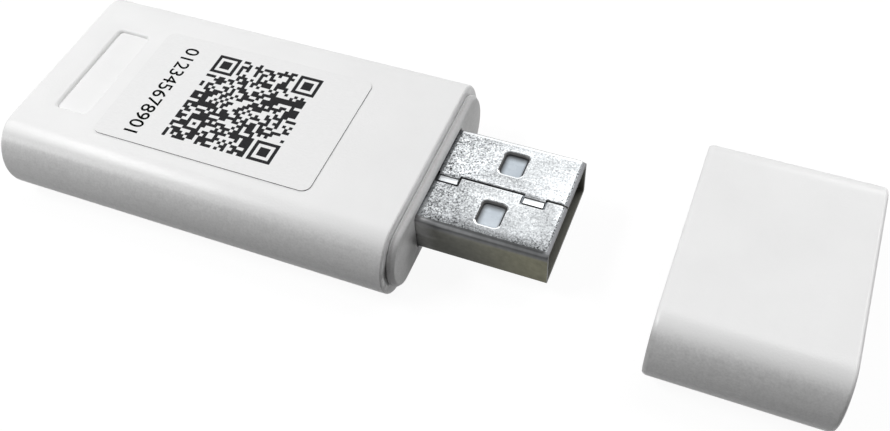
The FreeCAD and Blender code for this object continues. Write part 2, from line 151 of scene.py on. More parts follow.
# A surface finish with its own Principled shader, patterned on Object coordinates
class Finish(Recipe):
    socketNames = {"colour": "Base Color", "roughness": "Roughness", "metallic": "Metallic",
                   "ior": "IOR", "specular": "Specular IOR Level"}
    usualNoise = (0.3, 0.7)   # levels that soft noise seldom leaves

    def __init__(self, name):
        self.material = bpy.data.materials.new(name)
        self.material.use_nodes = True
        super().__init__(self.material.node_tree)
        self.shader = self.tree.nodes["Principled BSDF"]
        self.place = self.add("ShaderNodeTexCoord").out("Object")
        axes = self.add("ShaderNodeSeparateXYZ", None, {0: self.place})
        self.x = axes.out("X")
        self.y = axes.out("Y")
        self.z = axes.out("Z")

    # soft noise from 0 to 1 whose blobs are about `size` across
    def noise(self, size, detail=3.0, stretch=(1, 1, 1)):
        place = self.place
        if stretch != (1, 1, 1):
            place = self.add("ShaderNodeMapping", None, {"Vector": place, "Scale": stretch}).out()
        return self.add("ShaderNodeTexNoise", None,
                        {"Vector": place, "Scale": 1 / size, "Detail": detail}).out("Fac")

    # a chance level for each crystal: its cell's colour, which sums read as a grey
    def crystals(self, size):
        return self.add("ShaderNodeTexVoronoi", None,
                        {"Vector": self.place, "Scale": 1 / size}).out("Color")

    # how far the surface faces along X, Y and Z, by the Geometry output of that name
    def facing(self, output):
        normal = self.add("ShaderNodeNewGeometry").out(output)
        return self.add("ShaderNodeSeparateXYZ", None, {0: normal})

    # `low` below `start`, `high` above `end`, smooth between
    def fade(self, value, start, end, low=0.0, high=1.0):
        return self.add("ShaderNodeMapRange", {"interpolation_type": "SMOOTHSTEP"},
                        {"Value": value, "From Min": start, "From Max": end,
                         "To Min": low, "To Max": high}).out("Result")

    def fadeOut(self, value, start, end):
        return self.fade(value, start, end, 1.0, 0.0)

    # fades in over the first pair of places and out over the second
    def band(self, value, rise, fall):
        return self.fade(value, *rise) * self.fadeOut(value, *fall)

    # 1 where `value` lies between the two places
    def between(self, value, start, end):
        return (value > start) * (value < end)

    # distance outside a rounded rectangle about the point where x and y are 0
    def outside(self, x, y, halfLength, halfWidth, radius):
        along = x.math("MAXIMUM", abs(x) - (halfLength - radius), 0.0)
        across = y.math("MAXIMUM", abs(y) - (halfWidth - radius), 0.0)
        return x.math("SQRT", along * along + across * across) - radius

    def ramp(self, value, stops):
        return self.add("ShaderNodeValToRGB", {"stops": stops}, {0: value}).out("Color")

    # two colours spread over the usual levels of noise
    def mottled(self, noise, low, high):
        return self.ramp(noise, list(zip(self.usualNoise, (low, high))))

    # two numbers spread over the usual levels of noise
    def uneven(self, noise, low, high):
        return self.fade(noise, *self.usualNoise, low, high)

    def mix(self, factor, first, second):
        return self.add("ShaderNodeMix", {"data_type": "RGBA"},
                        {0: factor, 6: first, 7: second}).out(2)

    def times(self, first, second):
        return self.add("ShaderNodeMix", {"data_type": "RGBA", "blend_type": "MULTIPLY"},
                        {0: 1.0, 6: first, 7: second}).out(2)

    # a grey colour from one value
    def level(self, value):
        return self.add("ShaderNodeCombineColor", None, {0: value, 1: value, 2: value}).out()

    def bump(self, height, distance, strength=1.0):
        normal = self.add("ShaderNodeBump", None,
                          {"Height": height, "Distance": distance, "Strength": strength}).out()
        self.fill(self.shader, {"Normal": normal})

    def set(self, **sockets):
        self.fill(self.shader, {self.socketNames[name]: value for name, value in sockets.items()})

    def paint(self, *names):
        for name in names:
            thing = finished.get(name, nodes[name]) if isinstance(name, str) else name
            slots = thing.material_slots
            if not slots:
                thing.data.materials.append(self.material)
            for slot in slots:
                slot.material = self.material


# The cap's mouth is rounder outside than its solid's bevel: where that bevel ends, and how far the
# round runs to each side of there
capRim = {
    "bevelEnd": mm(0.2),
    "tolerance": mm(0.01),
    "reach": mm(0.26),
    "segments": 4,
}


def roundCapRim(piece):
    look = capRim
    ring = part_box("cap")[0].x + look["bevelEnd"]
    mesh = piece.data
    bpy.ops.object.mode_set(mode="EDIT")
    bpy.ops.mesh.select_mode(type="EDGE")
    bpy.ops.mesh.select_all(action="DESELECT")
    bpy.ops.object.mode_set(mode="OBJECT")
    for edge in mesh.edges:
        offRing = [abs(mesh.vertices[k].co.x - ring) for k in edge.vertices]
        edge.select = max(offRing) < look["tolerance"]
    bpy.ops.object.mode_set(mode="EDIT")
    bpy.ops.mesh.bevel(offset=look["reach"], segments=look["segments"], affect="EDGES")
    bpy.ops.mesh.select_mode(type="VERT")
    bpy.ops.object.mode_set(mode="OBJECT")


# Visible pieces as merged copies of the solids with their crisp edges broken: bevel width of each,
# and the material slot that it takes its finish from
softEdges = {
    "housing_sleeve": (mm(0.07), "white_plastic"),
    "end_collar": (mm(0.07), "white_plastic"),
    "cap": (mm(0.07), "white_plastic"),
    "usb_shell": (mm(0.035), "plug_steel"),
    "usb_tongue": (mm(0.05), "tongue_plastic"),
}
softEdgeLook = {
    "mergeDistance": mm(0.0005),
    "flatAngle": math.radians(0.5),
    "crispAngle": math.radians(28),
    "segments": 2,
}


def addSoftEdges():
    look = softEdgeLook
    for name, (width, slotName) in softEdges.items():
        source = nodes[name]
        deselectAll()
        piece = bpy.data.objects.new(name + "_finished", source.data.copy())
        bpy.context.scene.collection.objects.link(piece)
        piece.select_set(True)
        bpy.context.view_layer.objects.active = piece
        bpy.ops.object.mode_set(mode="EDIT")
        bpy.ops.mesh.select_all(action="SELECT")
        bpy.ops.mesh.remove_doubles(threshold=look["mergeDistance"])
        bpy.ops.mesh.dissolve_limited(angle_limit=look["flatAngle"])
        bpy.ops.object.mode_set(mode="OBJECT")
        if name == "cap":
            roundCapRim(piece)
        bevel = piece.modifiers.new("softEdge", "BEVEL")
        bevel.width = width
        bevel.segments = look["segments"]
        bevel.limit_method = "ANGLE"
        bevel.angle_limit = look["crispAngle"]
        bpy.ops.object.modifier_apply(modifier=bevel.name)
        bpy.ops.object.shade_smooth_by_angle(angle=look["crispAngle"])
        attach(piece, "cap" if name == "cap" else "dongle")
        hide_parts(name)
        finished[name] = piece


# Moulded plastic of the sleeve, the collar and the cap. The sides are grainier than the top and
# carry painted shade and painted light in soft bands, and the sleeve has a painted highlight
# under its top edge.
plasticLook = {
    "low": grey(0.800),
    "high": grey(0.832),
    "ior": 1.5,
    "cloudSize": mm(7.0),
    "grainSize": mm(0.22),
    "grainDepth": mm(0.014),
    "smooth": 0.345,
    "rough": 0.415,
    "sideUp": (mm(7.4), mm(8.5)),
    "sideGrain": 0.30,
    "mottleSize": mm(0.65),
    "sideMottle": 0.20,
    "dipUp": ((mm(4.9), mm(6.9)), (mm(7.2), mm(7.75))),
    "dipShade": 0.08,
    "gleamUp": (mm(4.0), mm(5.3)),
    "gleam": 0.065,
    "ridgeUp": ((mm(7.5), mm(7.8)), (mm(7.85), mm(8.25))),
    "ridgeGleam": 0.06,
    "ridgeFall": 5.2,   # how much the ridge's gleam loses in a metre along
}
# The collar is a little duller and has painted shade on its near side beside the plug, and its
# groove has painted light in it, with a painted shadow at the near bottom corner
collarLook = {
    "low": grey(0.700),
    "high": grey(0.730),
    "rougher": 0.08,
    "ends": (mm(21.10), mm(22.00)),
    "shade": 0.47,
    "shadeAcross": (mm(-9.6), mm(-7.4)),
    "shadeUp": (mm(3.2), mm(6.2)),
    "plugAcross": mm(-5.9),
    "groove": grey(0.97),
    "grooveEnds": (mm(20.98), mm(21.27)),
    "grooveShadow": grey(0.50),
    "grooveShadowStart": mm(21.04),
    "grooveShadowAcross": mm(-9.5),
    "grooveShadowUp": ((mm(1.5), mm(2.6)), (mm(5.2), mm(6.4))),
    "grooveShadowSize": mm(0.9),
    "grooveShadowNoise": (0.25, 0.60),
}
# The cap has painted shade on its side, more of it by its mouth, and painted light where it turns
# to its closed end
capLook = {
    "start": mm(40),
    "sideShade": 0.11,
    "mouth": (mm(45.40), mm(45.95)),
    "mouthShade": 0.20,
    "end": grey(0.97),
    "endStart": mm(60.80),
    "endFacing": (0.03, 0.36),
}


# the collar's colour, with painted shade on its near side beside the plug
def collarColour(finish, cloud):
    look = collarLook
    beside = finish.fade(finish.y, *look["shadeAcross"])
    beside = beside * finish.fadeOut(finish.z, *look["shadeUp"]) * (finish.y < look["plugAcross"])
    colour = finish.mottled(cloud, look["low"], look["high"])
    return finish.mix(beside * look["shade"], colour, grey(0.0))


# painted shadow in the groove at the near bottom corner, broken up by noise
def paintedGrooveShadow(finish, inGroove):
    look = collarLook
    grooveShadow = inGroove * (finish.x > look["grooveShadowStart"]) * (finish.y < look["grooveShadowAcross"])
    grooveShadow = grooveShadow * finish.band(finish.z, *look["grooveShadowUp"])
    return grooveShadow * finish.fade(finish.noise(look["grooveShadowSize"], 2.0), *look["grooveShadowNoise"])


# light and shade on the sides, as a factor on the colour
def sideShade(finish, grain):
    look = plasticLook
    onSide = finish.fadeOut(finish.z, *look["sideUp"])
    mottle = finish.noise(look["mottleSize"]) - 0.5
    shade = 1 + onSide * ((grain - 0.5) * look["sideGrain"] + mottle * look["sideMottle"])
    onCap = finish.x > capLook["start"]
    # painted shade on the cap's side, more of it by its mouth
    mouth = finish.fadeOut(finish.x, *capLook["mouth"]) * capLook["mouthShade"]
    shade = shade - onCap * onSide * (mouth + capLook["sideShade"])
    # painted shade in a band high on the sides, painted light low on them, and a painted highlight
    # under the sleeve's top edge
    dip = finish.band(finish.z, *look["dipUp"]) * look["dipShade"]
    gleam = finish.fade(finish.z, *look["gleamUp"], look["gleam"], 0.0)
    ridge = finish.band(finish.z, *look["ridgeUp"]) * (1 - onCap)
    ridge = ridge * (look["ridgeGleam"] - finish.x * look["ridgeFall"])
    return shade * (1 - dip + gleam + ridge)


def whitePlastic():
    look = plasticLook
    finish = Finish("whitePlastic")
    cloud = finish.noise(look["cloudSize"])
    grain = finish.noise(look["grainSize"])
    colour = finish.mottled(cloud, look["low"], look["high"])

    onCollar = finish.between(finish.x, *collarLook["ends"])
    inGroove = finish.between(finish.x, *collarLook["grooveEnds"])
    colour = finish.mix(onCollar, colour, collarColour(finish, cloud))
    # painted light in the collar's groove, and a painted shadow in it at the near bottom corner
    colour = finish.mix(inGroove, colour, collarLook["groove"])
    colour = finish.mix(paintedGrooveShadow(finish, inGroove), colour, collarLook["grooveShadow"])

    # painted light where the cap's end rounds over to its closed end
    paintedEndLight = finish.fade(finish.facing("Normal").out("X"), *capLook["endFacing"])
    paintedEndLight = paintedEndLight * (finish.x > capLook["endStart"])
    colour = finish.mix(paintedEndLight, colour, capLook["end"])

    roughness = finish.uneven(grain, look["smooth"], look["rough"])
    finish.set(colour=finish.times(colour, finish.level(sideShade(finish, grain))),
               roughness=roughness + onCollar * collarLook["rougher"], ior=look["ior"])
    finish.bump(grain, look["grainDepth"])
    finish.paint("housing_sleeve", "end_collar", "cap")


# Paper sticker: a faint fibre, and painted shade on its cut edge
paperLook = {
    "low": grey(0.780),
    "high": grey(0.815),
    "edge": grey(0.030),
    "topSkin": mm(0.004),
    "fibreSize": mm(0.35),
    "fibreDetail": 4.0,
    "fibreStretch": (1, 3, 1),
    "fibreDepth": mm(0.003),
    "fibreStrength": 0.5,
    "smooth": 0.50,
    "rough": 0.62,
}


def labelPaper():
    look = paperLook
    finish = Finish("labelPaper")
    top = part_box("label")[1].z
    fibre = finish.noise(look["fibreSize"], look["fibreDetail"], look["fibreStretch"])
    face = finish.mottled(fibre, look["low"], look["high"])
    # painted shade on the sticker's cut edge, below its top skin
    wall = finish.z < top - look["topSkin"]
    finish.set(colour=finish.mix(wall, face, look["edge"]),
               roughness=finish.uneven(fibre, look["smooth"], look["rough"]))
    finish.bump(fibre, look["fibreDepth"], look["fibreStrength"])
    finish.paint("label")


# Zinc-coated sheet: bright crystals, plainer and lighter where the socket has rubbed the tip, and
# darker towards the near side. Tones are brightness. Two tones, shades or contrasts are by the
# collar and at the tip, and a calm is how far the crystals fade there.
steelLook = {
    "colours": (
        (0.0, (0.019, 0.020, 0.021, 1.0)),
        (0.5, (0.482, 0.500, 0.514, 1.0)),
        (1.0, (0.965, 0.992, 1.000, 1.0)),
    ),
    "crystalSize": mm(0.115),
    "crystalShare": 0.8,
    "grainSize": mm(0.17),
    "grainShare": 2.0,
    "patchSize": mm(1.6),
    "patchShare": 0.16,
    "bumpDepth": mm(0.008),
    "bumpStrength": 0.5,
    "roughness": (0.42, 0.32),
    "sideRoughness": 0.50,
    "worn": (mm(22.0), mm(28.6)),
    "tones": (0.418, 0.575),
    "contrasts": (0.92, 0.50),
    "nearAcross": (mm(-4.2), mm(-1.5)),
    "nearShades": (0.09, 0.22),
    "nearCalms": (0.15, 0.25),
    "edgeAcross": (mm(-5.6), mm(-4.5)),
    "edgeShades": (0.52, 0.69),
    "edgeCalm": 0.30,
    "corner": (mm(30.5), mm(32.5)),
    "cornerAcross": (mm(-4.8), mm(-3.4)),
    "cornerShade": 0.28,
    "tip": (mm(32.0), mm(34.2)),
    "tipShade": 0.14,
    "behindWindows": ((mm(24.4), mm(25.2)), (mm(26.9), mm(27.6))),
    "behindAcross": (mm(1.3), mm(1.9)),   # from the middle
    "behindShades": (0.10, 0.16),         # on the far side and on the near side
    "pastSeamAcross": (0.0, mm(1.7)),
    "pastSeamShade": 0.14,
    "gleam": (mm(24.0), mm(25.0)),
    "gleamMiddle": mm(-0.75),
    "gleamAcross": (mm(0.55), mm(0.85)),  # from its middle
    "gleamShade": -0.17,
    "faceSkin": mm(0.12),
    "bend": mm(0.36),
    "bendFade": mm(0.10),
    "farFold": mm(0.16),
    "halfWidth": mm(6.0),
    "thickness": mm(0.3),
}
# Lines and strips on the sheet: the seam with a painted highlight on its near edge, a painted
# highlight along the far bend, painted shade on the front lip, and painted shade at the root by the
# collar, lighter on its near side
lineLook = {
    "calm": 0.6,
    "seamTone": 0.12,
    "seamAcross": (0.0, mm(0.23)),
    "seamEdgeTone": 0.74,
    "seamEdgeAcross": (mm(-0.22), mm(-0.04)),
    "seamEdgeCalm": 0.4,
    "farTone": 0.85,
    "farAcross": mm(5.52),
    "lipTone": 0.17,
    "lipLength": mm(0.42),
    "lipCalm": 0.1,
    "rootTones": (0.13, 0.26),            # on the far side and on the near side
    "rootEnd": mm(22.21),
    "rootCalm": 0.8,
}
# Locking tabs: middle and half length of each, the dark outline with the lit sheet inside it, and
# a shade beyond the bend that fades out
tabLook = {
    "middles": (mm(23.05), mm(31.60)),
    "halfLength": mm(1.03),
    "outlineTone": 0.15,
    "outlineAcross": (mm(-1.00), mm(0.02)),
    "litTones": (0.50, 0.72),
    "litLength": mm(0.96),
    "litAcross": (mm(-0.93), mm(-0.31)),
    "bendShade": 0.5,
    "bendAcross": (0.0, mm(0.50)),
}
# Windows: middle along and across, half sizes and corner, and the rolled rim, which has painted
# shade but for a painted highlight on its near side
windowLook = {
    "x": mm(28.345),
    "y": mm(3.2),
    "halfLength": mm(1.075),
    "halfWidth": mm(1.30),
    "radius": mm(0.40),
    "darkTone": 0.13,
    "sideRim": mm(0.18),
    "farRim": mm(0.30),
    "farAcross": (mm(0.5), mm(1.2)),
    "litTone": 1.05,
    "litRim": (mm(0.04), mm(0.28)),
    "litAcross": (mm(-1.2), mm(-1.0)),
}
# Cut edges of the sheet: painted shade, but a painted highlight where they turn to the far side,
# and painted shade on the front end
cutLook = {
    "flatFacing": (0.88, 0.95),
    "tone": grey(0.07),
    "farTone": grey(0.95),
    "farFacing": 0.25,
    "frontTone": grey(0.15),
    "frontFacing": 0.7,
    "frontSkin": mm(0.05),
}
# Zinc of the folds and sides, painted dark with painted shade and painted reflections: banded
# across the folds, mottled, tinted, and with a painted glow of reflected light by the collar. A row
# of tones is a height above the plug's bottom, and the brightness there by the collar and at the
# tip.
sideLook = {
    "tones": (
        (mm(0.00), 0.045, 0.060),
        (mm(0.30), 0.056, 0.120),
        (mm(1.60), 0.064, 0.145),
        (mm(2.60), 0.082, 0.146),
        (mm(3.10), 0.100, 0.146),
        (mm(3.50), 0.138, 0.146),
        (mm(3.75), 0.130, 0.118),
        (mm(4.00), 0.078, 0.075),
        (mm(4.12), 0.100, 0.080),
        (mm(4.26), 0.230, 0.150),
        (mm(4.38), 0.180, 0.130),
        (mm(4.46), 0.055, 0.050),
    ),
    "length": (mm(24.5), mm(34.0)),
    "rearTint": (0.99, 0.99, 0.88, 1.0),
    "tipTint": (1.01, 0.99, 0.72, 1.0),
    "foldTint": (0.98, 1.00, 1.02, 1.0),
    "foldUp": (mm(3.3), mm(3.8)),
    "glow": 0.42,
    "glowEnds": (mm(22.0), mm(24.0)),
    "glowTones": (0.20, 0.90),            # below and above
    "glowTonesUp": (mm(1.85), mm(2.35)),
    "glowByFold": 0.25,                   # share of the glow that is left at the fold
    "glowByFoldUp": (mm(3.9), mm(4.3)),
    "grainSize": mm(0.5),
    "grainDetail": 4.0,
    "grainShare": 0.5,
    "patchSize": mm(1.5),
    "patchShare": 0.4,
}
# Inside of the plug: painted shade, less of it near its mouth, and bluish on the sloped front lip
boreLook = {
    "tone": grey(0.07),
    "mouthTone": (0.122, 0.121, 0.106, 1.0),
    "mouthLength": mm(2.0),
    "lipTone": (0.146, 0.148, 0.154, 1.0),
    "lipDrop": mm(0.6),
    "lipFacing": 0.3,
    "slack": mm(0.02),
}


# how far y is from the middle of the window on its side of the seam
def acrossWindow(finish):
    return finish.y - windowLook["y"] + (finish.y < 0) * (2 * windowLook["y"])


# where the tabs reach along the plug, the shade beyond their bends, and rows of mask and tone
def tabMarks(finish):
    look = tabLook
    rear, front = [abs(finish.x - middle) for middle in look["middles"]]
    inReach = (rear < look["halfLength"]) + (front < look["halfLength"])
    shade = finish.fade(finish.y, *look["bendAcross"], look["bendShade"], 0.0)
    shade = inReach * shade * (finish.y > 0)
    outline = inReach * finish.between(finish.y, *look["outlineAcross"])
    across = finish.between(finish.y, *look["litAcross"])
    lit = [(part < look["litLength"]) * across for part in (rear, front)]
    return inReach, shade, [(outline, look["outlineTone"]), *zip(lit, look["litTones"])]


def windowMarks(finish):
    look = windowLook
    across = acrossWindow(finish)
    ring = finish.outside(finish.x - look["x"], across, look["halfLength"], look["halfWidth"],
                          look["radius"])
    width = finish.fade(across, *look["farAcross"], look["sideRim"], look["farRim"])
    nearSide = finish.fadeOut(across, *look["litAcross"])
    dark = (ring < width) * (1 - nearSide)
    lit = finish.between(ring, *look["litRim"]) * nearSide
    return [(dark, look["darkTone"]), (lit, look["litTone"])]


# crystals on a tone that follows the wear and the light side, with the pressed details drawn in
def steelFace(finish, tip, speckle):
    look = steelLook
    worn = finish.fade(finish.x, *look["worn"])
    near = finish.fadeOut(finish.y, *look["nearAcross"])
    edge = finish.fadeOut(finish.y, *look["edgeAcross"])
    contrast = slide(worn, *look["contrasts"]) * (1 - edge * look["edgeCalm"])
    contrast = contrast * (1 - near * slide(worn, *look["nearCalms"]))
    patch = finish.noise(look["patchSize"], 2.0) - 0.5
    tone = slide(worn, *look["tones"]) + patch * look["patchShare"]

    corner = finish.fade(finish.x, *look["corner"])
    corner = corner * finish.fadeOut(finish.y, *look["cornerAcross"])
    behind = finish.band(finish.x, *look["behindWindows"])
    behind = behind * finish.fade(abs(finish.y), *look["behindAcross"])
    gleam = finish.fade(finish.x, *look["gleam"])
    gleam = gleam * finish.fadeOut(abs(finish.y - look["gleamMiddle"]), *look["gleamAcross"])
    inReach, tabShade, tabs = tabMarks(finish)
    for shade in (near * slide(worn, *look["nearShades"]),
                  edge * slide(worn, *look["edgeShades"]),
                  finish.between(finish.y, *look["pastSeamAcross"]) * look["pastSeamShade"],
                  corner * look["cornerShade"],
                  behind * slide(near, *look["behindShades"]),
                  gleam * look["gleamShade"],
                  finish.fade(finish.x, *look["tip"]) * look["tipShade"],
                  tabShade):
        tone = tone * (1 - shade)

    line = lineLook
    calm = line["calm"]
    seam = (1 - inReach) * finish.between(finish.y, *line["seamAcross"])
    seamEdge = (1 - inReach) * finish.between(finish.y, *line["seamEdgeAcross"])
    marks = [(seam, line["seamTone"], calm), (seamEdge, line["seamEdgeTone"], line["seamEdgeCalm"])]
    marks += [(mask, level, calm) for mask, level in tabs + windowMarks(finish)]
    marks += [(finish.y > line["farAcross"], line["farTone"], calm),
              (finish.x > tip - line["lipLength"], line["lipTone"], line["lipCalm"]),
              (finish.x < line["rootEnd"], slide(near, *line["rootTones"]), line["rootCalm"])]
    for mask, level, calm in marks:
        tone = tone * (1 - mask) + level * mask
        contrast = contrast * (1 - mask * calm)
    return finish.ramp(tone + speckle * contrast, look["colours"])


def steelSide(finish, low, high):
    look = sideLook
    height = high.z - low.z
    up = finish.z - low.z
    ramps = [finish.ramp(up / height, [(row[0] / height, grey(row[k])) for row in look["tones"]])
             for k in (1, 2)]
    towardsTip = finish.fade(finish.x, *look["length"])
    tint = finish.mix(towardsTip, look["rearTint"], look["tipTint"])
    tint = finish.mix(finish.fade(up, *look["foldUp"]), tint, look["foldTint"])
    side = finish.times(finish.mix(towardsTip, *ramps), tint)
    glow = finish.fade(up, *look["glowByFoldUp"], look["glow"], look["glow"] * look["glowByFold"])
    glow = glow * finish.fadeOut(finish.x, *look["glowEnds"])
    glowTone = finish.fade(up, *look["glowTonesUp"], *look["glowTones"])
    side = finish.mix(glow, side, finish.level(glowTone))
    mottle = (finish.noise(look["grainSize"], look["grainDetail"]) - 0.5) * look["grainShare"]
    mottle = mottle + (finish.noise(look["patchSize"], 2.0) - 0.5) * look["patchShare"]
    return finish.times(side, finish.level(1 + mottle))


# the side's colour outside, and the bore's colour within the sheet
def steelBore(finish, low, high, upward, side):
    look = boreLook
    skin = steelLook["faceSkin"]
    inner = steelLook["halfWidth"] - steelLook["thickness"] + look["slack"]
    inside = (abs(finish.y) < inner) * finish.between(finish.z, low.z + skin, high.z - skin)
    inMouth = finish.x > high.x - look["mouthLength"]
    onLip = (upward > look["lipFacing"]) * (finish.z > high.z - look["lipDrop"])
    mouth = finish.mix(onLip, look["mouthTone"], look["lipTone"])
    return finish.mix(inside, side, finish.mix(inMouth, look["tone"], mouth))


def plugSteel():
    look, cut = steelLook, cutLook
    finish = Finish("plugSteel")
    low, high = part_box("usb_shell")
    facing = finish.facing("True Normal")
    grain = finish.noise(look["grainSize"])
    speckle = (finish.crystals(look["crystalSize"]) - 0.5) * look["crystalShare"]
    speckle = speckle + (grain - 0.5) * look["grainShare"]

    edge = finish.mix(facing.out("Y") > cut["farFacing"], cut["tone"], cut["farTone"])
    isFlat = finish.fade(abs(facing.out("Z")), *cut["flatFacing"])
    face = finish.mix(isFlat, edge, steelFace(finish, high.x, speckle))

    onFace = (finish.z > high.z - look["faceSkin"]) + (finish.z < low.z + look["faceSkin"])
    flatEnd = look["halfWidth"] - look["bend"]
    onFace = onFace * finish.fade(finish.y, -flatEnd, look["bendFade"] - flatEnd)
    onFace = onFace * (finish.y < flatEnd + look["farFold"])
    side = steelBore(finish, low, high, facing.out("Z"), steelSide(finish, low, high))
    colour = finish.mix(onFace, side, face)
    onFront = (facing.out("X") > cut["frontFacing"]) * (finish.x > high.x - cut["frontSkin"])
    colour = finish.mix(onFront, colour, cut["frontTone"])

    roughness = finish.uneven(grain, *look["roughness"]) * onFace
    roughness = roughness + look["sideRoughness"] * (1 - onFace)
    finish.set(colour=colour, metallic=1.0, roughness=roughness)
    finish.bump(speckle * onFace, look["bumpDepth"], look["bumpStrength"])
    finish.paint("usb_shell")


# Pale moulded insulator inside the plug: shaded under the sheet and by the windows' far, rear and
# front edges, and lit on the rest and by the mouth. Places are from a window's middle.
tongueLook = {
    "low": (0.50, 0.56, 0.62, 1.0),
    "high": (0.60, 0.66, 0.72, 1.0),
    "shade": (0.050, 0.054, 0.058, 1.0),
    "cloudSize": mm(1.6),
    "lightAcross": (mm(0.45), mm(1.30)),
    "rearEdge": (mm(-1.15), mm(-0.45)),
    "rearLight": 0.05,
    "frontEdge": (mm(0.85), mm(1.10)),
    "frontLight": 0.4,
    "shadeEnd": mm(1.4),
    "smooth": 0.22,
    "rough": 0.32,
    "bumpSize": mm(0.3),
    "bumpDepth": mm(0.003),
    "bumpStrength": 0.4,
}


def tonguePlastic():
    look = tongueLook
    finish = Finish("tonguePlastic")
    cloud = finish.noise(look["cloudSize"])
    along = finish.x - windowLook["x"]
    light = finish.fadeOut(acrossWindow(finish), *look["lightAcross"])
    light = light * finish.fade(along, *look["rearEdge"], look["rearLight"], 1.0)
    light = light * finish.fade(along, *look["frontEdge"], 1.0, look["frontLight"])
    shade = (1 - light) * (along < look["shadeEnd"])
    colour = finish.mottled(cloud, look["low"], look["high"])
    finish.set(colour=finish.mix(shade, colour, look["shade"]),
               roughness=finish.uneven(cloud, look["smooth"], look["rough"]))
    finish.bump(finish.noise(look["bumpSize"], 2.0), look["bumpDepth"], look["bumpStrength"])
    finish.paint("usb_tongue")


# Plain finishes of what lies inside: two colours, grain size, least and most roughness, metal, and
# the pieces that have it
insideLooks = {
    "contactGold": ((0.72, 0.47, 0.16, 1), (0.86, 0.62, 0.27, 1), mm(0.4), 0.22, 0.34, 1.0,
                    ("contact_vbus", "contact_data_minus", "contact_data_plus", "contact_ground")),
    "boardGreen": ((0.006, 0.070, 0.022, 1), (0.014, 0.115, 0.038, 1), mm(1.2), 0.22, 0.36, 0.0,
                   ("main_board",)),
    "moduleBlue": ((0.004, 0.020, 0.075, 1), (0.009, 0.036, 0.120, 1), mm(1.2), 0.22, 0.36, 0.0,
                   ("module_board",)),
    "aerialCopper": ((0.62, 0.27, 0.10, 1), (0.80, 0.42, 0.19, 1), mm(0.5), 0.25, 0.40, 1.0,
                     ("antenna_trace",)),
    "canTin": ((0.46, 0.46, 0.43, 1), (0.62, 0.62, 0.59, 1), mm(0.8), 0.28, 0.46, 1.0,
               ("shield_can",)),
    "crystalCan": ((0.52, 0.50, 0.44, 1), (0.66, 0.64, 0.57, 1), mm(0.4), 0.22, 0.36, 1.0,
                   ("crystal",)),
    "mouldedBlack": ((0.010, 0.010, 0.011, 1), (0.022, 0.022, 0.024, 1), mm(0.09), 0.52, 0.74, 0.0,
                     ("radio_chip", "flash_chip", "voltage_regulator", "esd_diode", "resistors")),
    "capacitorTan": ((0.22, 0.12, 0.055, 1), (0.30, 0.17, 0.08, 1), mm(0.12), 0.45, 0.62, 0.0,
                     ("module_capacitors",)),
    "tantalumYellow": ((0.48, 0.24, 0.012, 1), (0.60, 0.32, 0.022, 1), mm(0.2), 0.42, 0.60, 0.0,
                       ("input_capacitor", "output_capacitor")),
    "ferriteGrey": ((0.020, 0.020, 0.023, 1), (0.040, 0.040, 0.045, 1), mm(0.1), 0.50, 0.72, 0.0,
                    ("ferrite_bead",)),
}
insideBump = {
    "depth": mm(0.004),
    "strength": 0.4,
}


def insideFinishes():
    for name, (low, high, size, smooth, rough, metal, painted) in insideLooks.items():
        finish = Finish(name)
        grain = finish.noise(size)
        finish.set(colour=finish.mottled(grain, low, high), metallic=metal,
                   roughness=finish.uneven(grain, smooth, rough))
        finish.bump(grain, insideBump["depth"], insideBump["strength"])
        finish.paint(*painted)


# Ink of the label's print: two colours and the specular level of each kind
inkLooks = {
    "squareInk": ((0.014, 0.014, 0.015, 1.0), (0.028, 0.028, 0.030, 1.0), 0.06),
    "digitInk": ((0.001, 0.001, 0.001, 1.0), (0.003, 0.003, 0.003, 1.0), 0.02),
}
inkGrain = {
    "size": mm(0.12),
    "smooth": 0.50,
    "rough": 0.65,
}


def labelInk(name):
    low, high, shine = inkLooks[name]
    finish = Finish(name)
    grain = finish.noise(inkGrain["size"])
    finish.set(colour=finish.mottled(grain, low, high), specular=shine,
               roughness=finish.uneven(grain, inkGrain["smooth"], inkGrain["rough"]))
    return finish


# Square of small dark cells with three corner squares and a smaller one, made by chance and
# standing for no words or numbers
squarePrint = {
    "cells": 33,
    "side": mm(11.95),
    "centreX": mm(1.095),
    "centreY": mm(-0.21),
    "inkHeight": mm(0.008),
    "cornerCells": 7,
    "smallSquareCentre": 6,
    "smallSquareCells": 5,
    "seed": 12,
    "darkShare": 0.56,
}


# whether a cell is dark in a square of rings, by how far it is from the middle: the outer ring is
# dark, the next one light, and all within that dark, and what lies outside is a light border
def ringIsDark(away, half):
    return away == half or away < half - 1


def cellIsDark(column, row, chance):
    look = squarePrint
    half = look["cornerCells"] // 2
    far = look["cells"] - 1 - half
    for middleColumn, middleRow in ((half, far), (far, far), (far, half)):
        away = max(abs(column - middleColumn), abs(row - middleRow))
        if away <= half + 1:
            return ringIsDark(away, half)
    small = look["smallSquareCentre"]
    half = look["smallSquareCells"] // 2
    away = max(abs(column - small), abs(row - small))
    if away <= half:
        return ringIsDark(away, half)
    return chance < look["darkShare"]


